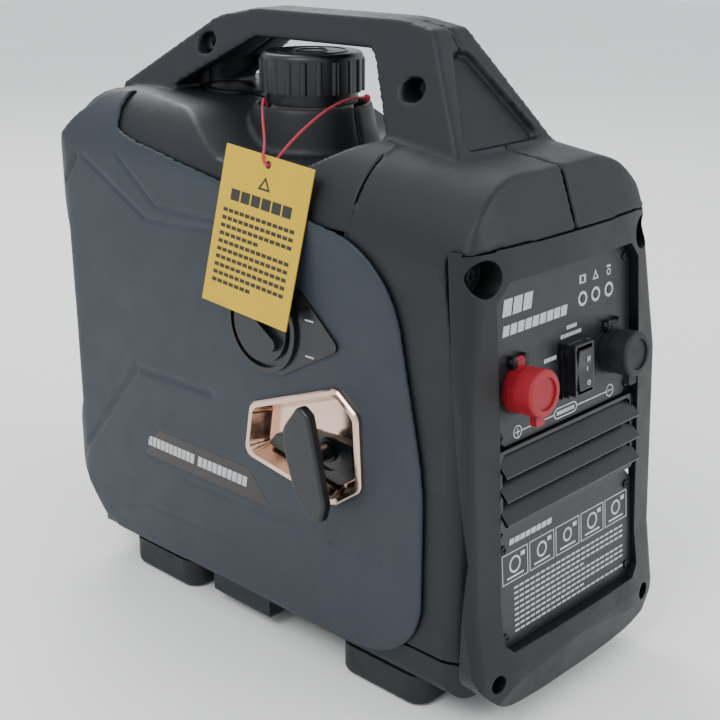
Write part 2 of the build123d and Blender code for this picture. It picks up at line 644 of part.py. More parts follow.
def flywheel_fan():
    """Flywheel with cooling blades and a hub on the crankshaft."""
    disc = rod((0, -48, CRANK_Z), (0, 1, 0), 54, 5) + tube((0, -43, CRANK_Z), (0, 1, 0), 54, 48, 17)
    disc = disc + rod((0, -58, CRANK_Z), (0, 1, 0), 16, 14)
    blade = Box(22, 9, 2.5)
    for angle in range(0, 360, 30):
        disc = disc + Pos(0, -51.5, CRANK_Z) * Rot(0, angle, 0) * Pos(40, 0, 0) * Rot(0, 18, 0) * blade
    return disc - rod((0, -70, CRANK_Z), (0, 1, 0), CRANK_R, 50)


def rotor_magnets():
    ring = tube((0, -42.5, CRANK_Z), (0, 1, 0), 48, 43, 16)
    cuts = block((-60, 60), (-50, -20), (-1.5, 1.5))
    for angle in range(0, 180, 45):
        ring = ring - Pos(0, 0, CRANK_Z) * Rot(0, angle, 0) * cuts
    return ring


def stator():
    """Laminated star with wound poles, fixed to the crankcase."""
    core = tube((0, -41, CRANK_Z), (0, 1, 0), 24, 14, 14)
    for angle in range(0, 360, 30):
        core = core + Pos(0, -34, CRANK_Z) * Rot(0, angle, 0) * Pos(31.5, 0, 0) * Box(21, 14, 5)
    return core + tube((0, -30, CRANK_Z), (0, 1, 0), 24, 21, 12)


def starter_pulley():
    pulley = rod((0, ROPE_Y - 5.5, CRANK_Z), (0, 1, 0), 50, 11)
    pulley = pulley - tube((0, ROPE_Y - 2.75, CRANK_Z), (0, 1, 0), 60, PULLEY_R - ROPE_R - 0.3, 5.5)
    return pulley - rod((0, ROPE_Y - 9, CRANK_Z), (0, 1, 0), 8 + BEARING_GAP, 20)


def recoil_housing():
    """Cup over the pulley with its fixed post and the rope's slot."""
    cup = rod((0, -88, CRANK_Z), (0, 1, 0), 62, 30) - rod((0, -85, CRANK_Z), (0, 1, 0), 59, 40)
    cup = cup + rod((0, -88, CRANK_Z), (0, 1, 0), 8, 20)
    for x in (-47, 47):
        foot = block((x - 7, x + 7), (-88, -23.4), (62.5, 84)) - rod((0, -95, CRANK_Z), (0, 1, 0), 60.5, 90)
        cup = cup + foot
    return cup - block((-70, -25), (ROPE_Y - 4, ROPE_Y + 4), (ROPE_Z - 4, ROPE_Z + 4))


def cylinder():
    """Finned cylinder barrel above the crankcase."""
    barrel = block((-26, 26), (4, 56), (168, 232))
    for z in range(174, 230, 8):
        barrel = barrel + fillet(block((-34, 34), (-4, 64), (z, z + 2.5)).edges().filter_by(Axis.Z), 8)
    return barrel - rod((0, 30, 160), (0, 0, 1), 20, 90)


def cylinder_head():
    head = block((-32, 32), (-2, 62), (232, 254))
    head = fillet(head.edges().filter_by(Axis.Z), 6)
    for x in range(-24, 28, 8):
        head = head - block((x, x + 4), (-5, 65), (244, 256))
    return head - rod((20, 30, 240), (1, 0, 0), 6, 30)


def spark_plug():
    plug = rod((20, 30, 240), (1, 0, 0), 6, 10) + rod((30, 30, 240), (1, 0, 0), 4.5, 20)
    return plug + rod((32.2, 30, 240), (1, 0, 0), 9, 5)


def carburettor():
    body = rod((34.2, 30, 208), (1, 0, 0), 15, 24) + block((38, 56), (18, 42), (186, 208))
    return body - rod((30, 30, 208), (1, 0, 0), 9, 40)


def air_filter_box():
    box = fillet(block((58.4, 95), (-14, 74), (168, 248)).edges(), 5)
    return box - block((61, 92.5), (-11, 71), (171, 245)) - rod((50, 30, 208), (1, 0, 0), 9, 10)


def muffler():
    """Sheet can with its inlet pipe from the cylinder and its tailpipe."""
    can = fillet(block((-62, 62), (108, 188), (96, 232)).edges(), 12)
    can = can - fillet(block((-60.5, 60.5), (109.5, 186.5), (97.5, 230.5)).edges(), 10.5)
    can = can + tube((0, 187, 196), (0, 1, 0), 11, 9.5, 24) - rod((0, 180, 196), (0, 1, 0), 9.5, 30)
    can = can - rod((0, 100, 205), (0, 1, 0), 9, 12)
    return can + tube((0, 64, 205), (0, 1, 0), 11, 9, 45) + tube((0, 64, 205), (0, 1, 0), 18, 9, 4)


def engine_mounts():
    floor = TRAY_BOTTOM + WALL + 2
    mounts = []
    for x in (-48, 52):
        for y in (-12, 66):
            mounts.append(rod((x, y, floor), (0, 0, 1), 11, 62 - floor) - rod((x, y, floor + 12), (0, 0, 1), 12, 6)
                          + rod((x, y, floor + 10), (0, 0, 1), 8.5, 10))
    return mounts


def control_module():
    """Cast heat sink behind the intake louvres."""
    body = block((-72, 72), (-184, -158), (56, 190))
    for z in range(60, 188, 8):
        body = body + block((-72, 72), (-196, -184), (z, z + 3))
    return body & across(outline([(-200, 50), (-196, 195), (-150, 195), (-150, 50)]), -80, 80)


def oil_cap():
    return rod((50, 56, 96), (1, 0, 0), 12, 7) + block((57, 63), (46, 66), (93.5, 98.5))


def fuel_hose():
    points = [(-38, KNOB_Y, KNOB_Z - 4), (-12, -20, 240), (14, -22, 234), (36, -16, 226), (46, -2, 214),
              (47, 18.1, 204)]
    path = FilletPolyline(*points, radius=[40, 30, 18, 18])
    start = Plane(points[0], z_dir=path % 0)
    return sweep(start * Circle(3.0), path)


# ---- rear -----------------------------------------------------------------------------------
def rear_cover():
    """Louvred plate in the rear window with the exhaust's hole."""
    face = outline([(-63.7, 66.3), (-63.7, 321.7), (63.7, 321.7), (63.7, 66.3)], 10)
    plate = along(face, REAR - WALL, REAR + 2)
    rim = along(grown(face, -5), REAR, REAR + 4)
    plate = plate - rim + block((-50, 50), (REAR - WALL, REAR), (176, 216))
    for z in range(84, 310, 13):
        if not 170 < z < 220:
            plate = plate - block((-48, 48), (REAR - 9, REAR + 9), (z, z + 6))
    plate = plate + tube((0, REAR - WALL, 196), (0, 1, 0), 17, 13, 7)
    return plate - rod((0, REAR - 9, 196), (0, 1, 0), 13, 30)


# ---- feet -------------------------------------------------------------------------------------
def rubber_feet():
    feet = []
    for x in (-1, 1):
        for y in (-125, 123):
            foot = block((min(x * 54, x * 98), max(x * 54, x * 98)), (y - 41, y + 41), (-FOOT_DROP, TRAY_BOTTOM))
            foot = fillet(foot.edges().filter_by(Axis.Z), 14)
            feet.append(fillet(foot.edges().group_by(Axis.Z)[0], 6))
    return feet


# ---- tag and its string ---------------------------------------------------------------------
def warning_tag():
    card = Pos(0, -TAG_HEIGHT / 2, 0) * RectangleRounded(TAG_WIDTH, TAG_HEIGHT, 0.6).face()
    card = card - Pos(0, -6.2) * Circle(2.8).face()
    return TAG * (Pos(0, 0, -TAG_THICK / 2) * extrude(card, amount=TAG_THICK))


def corner_radii(points):
    """As large an arc at each corner as its two runs allow."""
    radii = []
    for before, here, after in zip(points, points[1:], points[2:]):
        into, out = Vector(*here) - Vector(*before), Vector(*after) - Vector(*here)
        half_turn = math.radians(into.get_angle(out)) / 2
        radii.append(0.45 * min(into.length, out.length) / math.tan(half_turn))
    return radii


def tag_string():
    radii = corner_radii(STRING_POINTS)
    path = FilletPolyline(*STRING_POINTS, radius=radii)
    return sweep(Plane(STRING_POINTS[0], z_dir=path % 0) * Circle(STRING_D / 2), path)


def string_knot():
    return Pos(15, -6.2, 394.3) * Sphere(2.9)


# ---- screws ------------------------------------------------------------------------------------
def panel_screws():
    """Cross-head screws at the corners of the control and guide plates."""
    screws = []
    for x, v in plate_screw_places() + guide_screw_places():
        shaft = panel_rod(x, v, -PLATE - 3, 0, 1.5)
        head = fillet(panel_rod(x, v, 0, 1.6, 3.2).edges().sort_by(PANEL_OUT)[-1:], 0.9)
        cross = on_panel(Pos(x, v) * Rectangle(3.6, 0.9).face(), 0.8, 3)
        cross = cross + on_panel(Pos(x, v) * Rectangle(0.9, 3.6).face(), 0.8, 3)
        screws.append(head - cross + shaft)
    return screws


def bezel_screws():
    screws = []
    for x, z, radius, floor_y in SCREW_WELLS:
        slots = (floor_y - 4, floor_y - 1.4)
        cross = block((x - 2.6, x + 2.6), slots, (z - 0.6, z + 0.6)) + block((x - 0.6, x + 0.6), slots, (z - 2.6, z + 2.6))
        head = rod((x, floor_y, z), (0, -1, 0), 4.2, 3)
        screws.append(head - cross + rod((x, floor_y, z), (0, 1, 0), 2.1, 10))
    return screws


def handle_screws():
    screws = []
    for y, z in well_places():
        head = rod((-WELL_DEPTH_X, y, z), (-1, 0, 0), 4.5, 3)
        cross = block((-19, -16.4), (y - 2.8, y + 2.8), (z - 0.6, z + 0.6))
        cross = cross + block((-19, -16.4), (y - 0.6, y + 0.6), (z - 2.8, z + 2.8))
        screws.append(head - cross + rod((-WELL_DEPTH_X, y, z), (1, 0, 0), 2.05, 28))
    return screws


def handle_badge():
    """Blank plate in the recess of the handle's front slope."""
    face = outline([(-40, -30), (-7.2, 36.2), (7.2, 36.2), (40, -30)], [4, 2.5, 2.5, 4])
    return SLOPE * (Pos(0, 0, -BADGE_DEPTH) * extrude(face, amount=1.2))


def light_rings():
    lights = []
    for x, v in led_places():
        light = panel_rod(x, v, -8, 0.9, 3)
        lights.append(fillet(light.edges().sort_by(PANEL_OUT)[-1:], 0.8))
    return lights


def main():
    tray, shell_left, shell_right = build_casing()
    write("base_tray", tray)
    write("top_shell_left", shell_left)
    write("top_shell_right", shell_right)
    write("side_cover_left", side_cover_left())
    write("side_cover_right", mirrored(side_cover()))
    write("side_decal", side_decal())
    write("rear_cover", rear_cover())
    write("handle_badge", handle_badge())
    write("front_bezel", front_bezel())
    write("control_plate", control_plate())
    write("intake_louvres", intake_louvres())
    write("guide_plate", guide_plate())
    write("indicator_lights", *light_rings())
    for side, x in (("positive", -SOCKET_X), ("negative", SOCKET_X)):
        write(f"socket_cap_{side}", socket_cap(x))
    write("socket_bodies", *[socket_body(x) for x in (-SOCKET_X, SOCKET_X)])
    write("socket_contacts", *[socket_contact(x) for x in (-SOCKET_X, SOCKET_X)])
    write("hinge_pins", *hinge_pins(), switch_pin(1.25))
    write("switch_housing", switch_housing())
    write("rocker_switch", rocker())
    write("panel_screws", *panel_screws())
    write("casing_screws", *bezel_screws(), *handle_screws())
    write("starter_bezel", starter_bezel())
    write("starter_cup", starter_cup())
    write("rope_ferrule", rope_ferrule())
    write("starter_grip", starter_grip())
    write("starter_rope", starter_rope())
    write("starter_pulley", starter_pulley())
    write("recoil_housing", recoil_housing())
    write("knob_plate", knob_plate())
    write("fuel_knob", fuel_knob())
    write("fuel_valve", fuel_valve())
    write("fuel_hose", fuel_hose())
    write("fuel_cap", fuel_cap())
    write("fuel_cap_gasket", tube((0, FILLER_Y, 411.5), (0, 0, 1), NECK_R - 0.5, 24, 2.2))
    write("fuel_neck", fuel_neck())
    write("filler_seal", tube((0, FILLER_Y, 347), (0, 0, 1), NECK_R + 5, NECK_R, 8))
    write("fuel_tank", fuel_tank())
    write("gauge_can", gauge_can())
    write("gauge_needle", gauge_needle())
    write("gauge_window", gauge_window())
    write("crankcase", crankcase())
    write("crank_bearings", *crank_bearings())
    write("crankshaft", crankshaft())
    write("flywheel_fan", flywheel_fan())
    write("rotor_magnets", rotor_magnets())
    write("stator", stator())
    write("cylinder", cylinder())
    write("cylinder_head", cylinder_head())
    write("spark_plug", spark_plug())
    write("carburettor", carburettor())
    write("air_filter_box", air_filter_box())
    write("muffler", muffler())
    write("engine_mounts", *engine_mounts())
    write("control_module", control_module())
    write("oil_cap", oil_cap())
    write("rubber_feet", *rubber_feet())
    write("warning_tag", warning_tag())
    write("tag_string", tag_string())
    write("string_knot", string_knot())


main()
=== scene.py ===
"""Looks of the portable generator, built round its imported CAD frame. Metres, +Z up, control end on -Y."""
import json
import math

import bmesh
import bpy
import numpy as np
from mathutils import Matrix, Vector


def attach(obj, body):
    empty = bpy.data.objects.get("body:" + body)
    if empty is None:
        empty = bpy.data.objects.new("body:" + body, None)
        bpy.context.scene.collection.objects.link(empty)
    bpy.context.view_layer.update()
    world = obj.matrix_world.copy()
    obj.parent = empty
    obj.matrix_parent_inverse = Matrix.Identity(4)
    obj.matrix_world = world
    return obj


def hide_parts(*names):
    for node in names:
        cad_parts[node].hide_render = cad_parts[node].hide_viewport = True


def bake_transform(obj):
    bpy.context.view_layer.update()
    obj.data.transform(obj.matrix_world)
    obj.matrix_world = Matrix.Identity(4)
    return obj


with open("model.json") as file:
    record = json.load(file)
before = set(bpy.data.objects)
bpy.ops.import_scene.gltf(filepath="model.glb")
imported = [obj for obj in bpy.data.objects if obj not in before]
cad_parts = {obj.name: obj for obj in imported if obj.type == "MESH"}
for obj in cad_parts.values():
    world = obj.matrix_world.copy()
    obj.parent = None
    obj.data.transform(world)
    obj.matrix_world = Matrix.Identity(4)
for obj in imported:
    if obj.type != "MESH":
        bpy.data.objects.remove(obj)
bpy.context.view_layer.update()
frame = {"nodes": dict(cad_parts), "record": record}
SLOTS = {part["node"]: part["material_slot"] for part in frame["record"]["subparts"]}
MM = 0.001
LIFT = 7             # mm, height of the working level above the floor
WALL = 3.5           # mm, moulded wall thickness


# ---- small mesh helpers -----------------------------------------------------------------------
def new_object(name, mesh, material=None):
    piece = bpy.data.objects.new(name, mesh)
    bpy.context.scene.collection.objects.link(piece)
    if material:
        mesh.materials.append(material)
    return piece


def mesh_from(name, vertices, faces, material=None, smooth=True):
    mesh = bpy.data.meshes.new(name)
    mesh.from_pydata([tuple(v) for v in vertices], [], faces)
    mesh.polygons.foreach_set("use_smooth", [smooth] * len(mesh.polygons))
    mesh.update()
    return new_object(name, mesh, material)


def frame_matrix(origin, x_axis, z_axis):
    """Local to row frame: x along x_axis, z along z_axis."""
    z = Vector(z_axis).normalized()
    x = Vector(x_axis)
    x = (x - z * x.dot(z)).normalized()
    y = z.cross(x)
    matrix = Matrix((x, y, z)).transposed().to_4x4()
    matrix.translation = Vector(origin)
    return matrix


def applied(piece):
    """The piece with its modifiers made real."""
    depsgraph = bpy.context.evaluated_depsgraph_get()
    mesh = bpy.data.meshes.new_from_object(piece.evaluated_get(depsgraph))
    piece.modifiers.clear()
    old = piece.data
    piece.data = mesh
    bpy.data.meshes.remove(old)


def smooth_shaded(piece):
    piece.data.polygons.foreach_set("use_smooth", [True] * len(piece.data.polygons))
    piece.data.update()


def softened(node, voxel, rounds):
    """A finely meshed copy of a CAD node with its sharp edges rounded over."""
    piece = new_object(node + "_skin", frame["nodes"][node].data.copy())
    piece.data.materials.clear()
    weld = piece.modifiers.new("weld", "WELD")
    weld.merge_threshold = 0.00002
    remesh = piece.modifiers.new("remesh", "REMESH")
    remesh.mode = "VOXEL"
    remesh.voxel_size = voxel
    blur = piece.modifiers.new("round", "SMOOTH")
    blur.factor = 0.5
    blur.iterations = rounds
    applied(piece)
    smooth_shaded(piece)
    return piece


def stand_in(piece, node):
    """piece stands in for one CAD node, which is hidden; the piece rides with the casing."""
    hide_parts(node)
    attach(piece, "casing")


# ---- materials -----------------------------------------------------------------------------------
class Shader:
    """A Principled material with helpers for object-space noise."""

    def __init__(self, name):
        self.material = bpy.data.materials.new(name)
        self.material.use_nodes = True
        self.nodes = self.material.node_tree.nodes
        self.links = self.material.node_tree.links
        self.shader = self.nodes["Principled BSDF"]
        self.place = self.nodes.new("ShaderNodeTexCoord")

    def set(self, **values):
        for key, value in values.items():
            self.shader.inputs[key.replace("_", " ")].default_value = value
        return self

    def noise(self, scale, detail=3.0, roughness=0.5, stretch=None):
        texture = self.nodes.new("ShaderNodeTexNoise")
        texture.inputs["Scale"].default_value = scale
        texture.inputs["Detail"].default_value = detail
        texture.inputs["Roughness"].default_value = roughness
        source = self.place.outputs["Object"]
        if stretch:
            mapping = self.nodes.new("ShaderNodeMapping")
            mapping.inputs["Scale"].default_value = stretch
            self.links.new(source, mapping.inputs["Vector"])
            source = mapping.outputs["Vector"]
        self.links.new(source, texture.inputs["Vector"])
        return texture.outputs["Fac"]

    def span(self, value, low, high, start=0.3, end=0.7):
        node = self.nodes.new("ShaderNodeMapRange")
        node.inputs["From Min"].default_value = start
        node.inputs["From Max"].default_value = end
        node.inputs["To Min"].default_value = low
        node.inputs["To Max"].default_value = high
        self.links.new(value, node.inputs["Value"])
        return node.outputs["Result"]

    def colours(self, value, *stops):
        ramp = self.nodes.new("ShaderNodeValToRGB")
        while len(ramp.color_ramp.elements) < len(stops):
            ramp.color_ramp.elements.new(0.5)
        for element, (position, colour) in zip(ramp.color_ramp.elements, stops):
            element.position = position
            element.color = (*colour, 1)
        self.links.new(value, ramp.inputs["Fac"])
        return ramp.outputs["Color"]

    def colour(self, socket):
        self.links.new(socket, self.shader.inputs["Base Color"])
        return self

    def rough(self, socket):
        self.links.new(socket, self.shader.inputs["Roughness"])
        return self

    def rounded(self, radius=0.0012):
        """Light catches a small radius on sharp moulded edges."""
        edge = self.nodes.new("ShaderNodeBevel")
        edge.samples = 4
        edge.inputs["Radius"].default_value = radius
        for link in list(self.links):
            if link.to_node.bl_idname == "ShaderNodeBump" and not link.to_node.inputs["Normal"].is_linked:
                self.links.new(edge.outputs["Normal"], link.to_node.inputs["Normal"])
                break
        return self

    def bump(self, height, distance, strength=1.0):
        node = self.nodes.new("ShaderNodeBump")
        node.inputs["Distance"].default_value = distance
        node.inputs["Strength"].default_value = strength
        self.links.new(height, node.inputs["Height"])
        previous = self.shader.inputs["Normal"]
        if previous.is_linked:
            self.links.new(previous.links[0].from_socket, node.inputs["Normal"])
        self.links.new(node.outputs["Normal"], previous)
        return self


def shade(colour, amount):
    return tuple(max(0.0, min(1.0, channel * amount)) for channel in colour)


def moulded(name, colour, rough=0.5, grain=1400, depth=0.00004, mottle=0.12):
    """Injection-moulded plastic: spark-eroded grain, faint flow marks and handling sheen."""
    made = Shader(name)
    flow = made.noise(9, 4, 0.6)
    made.colour(made.colours(flow, (0.25, shade(colour, 1 - mottle)), (0.75, shade(colour, 1 + mottle))))
    made.rough(made.span(made.noise(38, 5, 0.65), rough - 0.05, rough + 0.07))
    made.bump(made.noise(grain, 2, 0.6), depth)
    made.set(Specular_IOR_Level=0.38)
    return made.rounded().material


def glossy(name, colour, rough=0.15, waviness=0.00002):
    """Smooth moulded plastic or film with fine wipe marks."""
    made = Shader(name)
    made.colour(made.colours(made.noise(14, 3), (0.3, shade(colour, 0.85)), (0.7, shade(colour, 1.2))))
    made.rough(made.span(made.noise(55, 6, 0.7, (1, 1, 3)), rough - 0.05, rough + 0.1))
    made.bump(made.noise(70, 2), waviness)
    return made.material


def rubber(name, colour, rough=0.62):
    made = Shader(name)
    made.colour(made.colours(made.noise(30, 5, 0.6), (0.3, shade(colour, 0.82)), (0.75, shade(colour, 1.15))))
    made.rough(made.span(made.noise(120, 4), rough - 0.08, rough + 0.08))
    made.bump(made.noise(2200, 2), 0.00003)
    made.set(Specular_IOR_Level=0.35)
    return made.material


def metal(name, colour, rough=0.25, grain=(1, 1, 1), scale=300, depth=0.00001):
    made = Shader(name)
    made.set(Metallic=1.0)
    made.colour(made.colours(made.noise(20, 3), (0.3, shade(colour, 0.86)), (0.7, shade(colour, 1.1))))
    made.rough(made.span(made.noise(scale * 0.4, 4, 0.6, grain), rough * 0.7, rough * 1.4))
    made.bump(made.noise(scale, 3, 0.6, grain), depth)
    return made.material


def ink(name, colour, rough=0.4):
    made = Shader(name)
    made.colour(made.colours(made.noise(160, 3), (0.3, shade(colour, 0.86)), (0.7, colour)))
    made.rough(made.span(made.noise(90, 3), rough - 0.08, rough + 0.08))
    made.bump(made.noise(1800, 2), 0.00001)
    return made.material


def card(name, colour):
    """Coated card with a fine fibre tooth and faint handling creases."""
    made = Shader(name)
    made.colour(made.colours(made.noise(26, 6, 0.7), (0.25, shade(colour, 0.9)), (0.75, shade(colour, 1.07))))
    made.rough(made.span(made.noise(60, 4), 0.34, 0.5))
    made.bump(made.noise(900, 4, 0.7), 0.00002)
    made.bump(made.noise(22, 3), 0.0006, 0.5)
    return made.material


def twisted(name, colour, pitch):
    """Twisted thread: diagonal ridges wound round its length, with painted shade in the grooves between them."""
    made = Shader(name)
    wave = made.nodes.new("ShaderNodeTexWave")
    wave.bands_direction = "DIAGONAL"
    wave.inputs["Scale"].default_value = 1 / pitch
    wave.inputs["Distortion"].default_value = 1.5
    made.links.new(made.place.outputs["Object"], wave.inputs["Vector"])
    # painted shade: the colour follows the bump's wave, darkest in the grooves between the strands
    made.colour(made.colours(wave.outputs["Fac"], (0.1, shade(colour, 0.55)), (0.7, colour)))
    made.set(Roughness=0.75)
    made.bump(wave.outputs["Fac"], 0.0002)
    return made.material


def glass(name):
    made = Shader(name)
    made.set(Transmission_Weight=0.9, IOR=1.49)
    made.rough(made.span(made.noise(40, 4), 0.03, 0.1))
    made.bump(made.noise(60, 2), 0.00001)
    return made.material


BLACK = moulded("black_plastic", (0.0055, 0.0072, 0.0098), 0.5)
GREY = moulded("grey_plastic", (0.0175, 0.0245, 0.0325), 0.48)
BEZEL = moulded("bezel_plastic", (0.0032, 0.0038, 0.005), 0.46)
PANEL_FILM = glossy("panel_film", (0.0055, 0.0062, 0.0078), 0.38)
GLOSS = glossy("gloss_black", (0.0028, 0.0034, 0.0044), 0.27)
CAP = glossy("cap_plastic", (0.0042, 0.0055, 0.0075), 0.36)
RED = rubber("red_rubber", (0.27, 0.009, 0.018), 0.45)
SOFT_BLACK = rubber("black_rubber", (0.011, 0.012, 0.014), 0.55)
CHROME = metal("bright_chrome", (0.72, 0.52, 0.41), 0.16)
STEEL = metal("zinc_steel", (0.42, 0.42, 0.42), 0.35)
DARK_STEEL = metal("black_oxide", (0.035, 0.036, 0.04), 0.4)
BRASS = metal("brass", (0.72, 0.5, 0.2), 0.25)
CAST = metal("cast_aluminium", (0.5, 0.5, 0.5), 0.5, scale=900, depth=0.0001)
WINDING = metal("copper_winding", (0.5, 0.22, 0.09), 0.35, (1, 12, 1), 400, 0.0001)
IRON = metal("dark_iron", (0.09, 0.09, 0.09), 0.5, scale=700, depth=0.00005)
HOT_STEEL = metal("heat_steel", (0.3, 0.26, 0.2), 0.4, scale=500, depth=0.00004)
TANK = moulded("tank_plastic", (0.5, 0.48, 0.4), 0.4)
WINDOW = glass("clear_window")
LAMP = ink("lamp_white", (0.75, 0.78, 0.76), 0.3)
DECAL = glossy("decal_film", (0.016, 0.0095, 0.0085), 0.3)
YELLOW = card("tag_card", (0.56, 0.36, 0.004))
STRING = twisted("tag_cord", (0.60, 0.035, 0.075), 0.0011)
ROPE = twisted("rope_braid", (0.45, 0.45, 0.43), 0.002)
WHITE_INK = ink("white_ink", (0.45, 0.47, 0.48))
DARK_INK = ink("dark_ink", (0.02, 0.018, 0.012))
NEEDLE = ink("needle_red", (0.6, 0.06, 0.03))

SLOT_MATERIALS = {
    "black_plastic": BLACK, "grey_plastic": GREY, "bezel_plastic": BEZEL, "panel_print": PANEL_FILM,
    "gloss_black": GLOSS, "cap_plastic": CAP, "red_rubber": RED, "black_rubber": SOFT_BLACK,
    "bright_chrome": CHROME, "steel": STEEL, "brass": BRASS, "cast_aluminium": CAST,
    "copper_steel": WINDING, "cast_iron": IRON, "heat_steel": HOT_STEEL, "tank_plastic": TANK,
    "clear_window": WINDOW, "lamp": LAMP, "decal_film": DECAL, "tag_card": YELLOW, "tag_cord": STRING,
    "rope": ROPE, "needle_red": NEEDLE,
}


DARK_MATERIALS = {"panel_screws": DARK_STEEL, "casing_screws": DARK_STEEL, "rope_ferrule": DARK_STEEL,
                  "indicator_lights": GLOSS}


def dress_cad():
    """Every carried-over CAD node gets its slot's material."""
    for node, piece in frame["nodes"].items():
        piece.data.materials.clear()
        piece.data.materials.append(DARK_MATERIALS.get(node) or SLOT_MATERIALS[SLOTS[node]])


# ---- stage ---------------------------------------------------------------------------------------
CAMERA_PLACE = (-0.700, -0.6825, 0.5404)
CAMERA_PITCH = 19.3
CAMERA_HEADING = 46.3
FOCAL_PIXELS = 1316
IMAGE_PIXELS = 720
SENSOR = 36.0


def make_camera():
    data = bpy.data.cameras.new("camera")
    data.sensor_width = SENSOR
    data.lens = SENSOR * FOCAL_PIXELS / IMAGE_PIXELS
    data.clip_start = 0.01
    camera = bpy.data.objects.new("camera", data)
    camera.location = CAMERA_PLACE
    camera.rotation_euler = (math.radians(90 - CAMERA_PITCH), 0, math.radians(-CAMERA_HEADING))
    bpy.context.scene.collection.objects.link(camera)
    bpy.context.scene.camera = camera


def area_light(name, place, target, size, power, colour=(1, 1, 1)):
    data = bpy.data.lights.new(name, "AREA")
    data.shape = "DISK"
    data.size = size
    data.energy = power
    data.color = colour
    light = bpy.data.objects.new(name, data)
    light.location = place
    light.rotation_euler = (Vector(target) - Vector(place)).to_track_quat("-Z", "Y").to_euler()
    bpy.context.scene.collection.objects.link(light)


def make_stage():
    floor = Shader("floor_paper")
    floor.colour(floor.colours(floor.noise(3, 2), (0.3, (0.90, 0.90, 0.89)), (0.7, (0.92, 0.92, 0.91))))
    floor.set(Roughness=0.8)
    size = 6.0
    plane = mesh_from("floor", [(-size, -size, 0), (size, -size, 0), (size, size, 0), (-size, size, 0)],
                      [(0, 1, 2, 3)], floor.material)
    world = bpy.data.worlds.new("studio")
    world.use_nodes = True
    background = world.node_tree.nodes["Background"]
    background.inputs["Color"].default_value = (0.93, 0.96, 1.0, 1)
    background.inputs["Strength"].default_value = 1.15
    bpy.context.scene.world = world
    middle = (0, 0, 0.22)
    area_light("key", (-1.6, -0.2, 1.9), middle, 1.2, 26)
    area_light("front", (0.6, -2.2, 1.3), middle, 1.4, 22)
    area_light("back", (0.9, 1.6, 1.9), middle, 1.2, 26)


# ---- tag and string --------------------------------------------------------------------------------
TAG_PLACE = frame_matrix((-0.102, -0.027, 0.3765), (0.04, -0.9945, -0.0967), (-0.9831, -0.0564, 0.1735))
STRING_D = 0.002
STRING_POINTS = [
    (-0.038, 0.044, 0.394), (-0.0435, 0.042, 0.4045), (-0.054, 0.033, 0.399), (-0.068, 0.017, 0.390),
    (-0.084, -0.002, 0.3825), (-0.097, -0.0155, 0.378), (-0.105, -0.023, 0.3765), (-0.107, -0.0263, 0.372),
    (-0.101, -0.027, 0.3695), (-0.096, -0.028, 0.3745), (-0.085, -0.0293, 0.384), (-0.066, -0.028, 0.394),
    (-0.043, -0.023, 0.401), (-0.020, -0.016, 0.404), (0.0, -0.0106, 0.4038), (0.0125, -0.007, 0.402),
]


def nurbs_curve(name, points, diameter, material):
    data = bpy.data.curves.new(name, "CURVE")
    data.dimensions = "3D"
    data.bevel_depth = diameter / 2
    data.bevel_resolution = 4
    data.resolution_u = 12
    data.use_fill_caps = True
    spline = data.splines.new("NURBS")
    spline.points.add(len(points) - 1)
    for point, place in zip(spline.points, points):
        point.co = (*place, 1)
    spline.order_u = 3
    spline.use_endpoint_u = True
    curve = bpy.data.objects.new(name, data)
    bpy.context.scene.collection.objects.link(curve)
    data.materials.append(material)
    return curve


# ---- printed marks ----------------------------------------------------------------------------------
PANEL_TILT = math.radians(4.7)
PANEL_PLACE = frame_matrix((0, -0.207, 0.212), (1, 0, 0), (0, -math.cos(PANEL_TILT), math.sin(PANEL_TILT)))
SIDE_PLACE = frame_matrix((-0.1048, 0, 0.007), (0, -1, 0), (-1, 0, 0))
KNOB_PLACE = frame_matrix((-0.107, 0, 0.007), (0, -1, 0), (-1, 0, 0))
CAP_PLACE = frame_matrix((0, 0.036, 0.434), (1, 0, 0), (0, 0, 1))
LAMP_V = 73.5            # mm, row of lamps above the plane's origin
LAMP_X = (22, 37.5, 53.5)
SOCKET_X = 53.5
ROCKER_END = 0.0121      # m, the rocker's face in front of the plate
ROCKER_WAIST = 0.0109


def bar(x0, y0, x1, y1, lean=0.0):
    """A slanted block, as (outer loop, no hole)."""
    return [(x0, y0), (x1, y0), (x1 + lean, y1), (x0 + lean, y1)], None


def loop(x, y, across, up=None, count=32):
    up = across if up is None else up
    return [(x + across * math.cos(turn), y + up * math.sin(turn))
            for turn in (2 * math.pi * i / count for i in range(count))]


def ring(x, y, outer, inner):
    return loop(x, y, outer), loop(x, y, inner)


def pill(x, y, half, radius, wall):
    """A flat oval outline with straight sides."""
    def shape(r):
        right = [(x + half + r * math.cos(t), y + r * math.sin(t)) for t in np.linspace(-math.pi / 2, math.pi / 2, 12)]
        left = [(x - half + r * math.cos(t), y + r * math.sin(t)) for t in np.linspace(math.pi / 2, 1.5 * math.pi, 12)]
        return right + left
    return shape(radius), shape(radius - wall)


def words(x0, x1, y0, y1, count, lean=0.0, gap=0.16):
    """A row of plain blocks where wording would be."""
    step = (x1 - x0) / count
    return [bar(x0 + i * step, y0, x0 + (i + 1 - gap) * step, y1, lean) for i in range(count)]


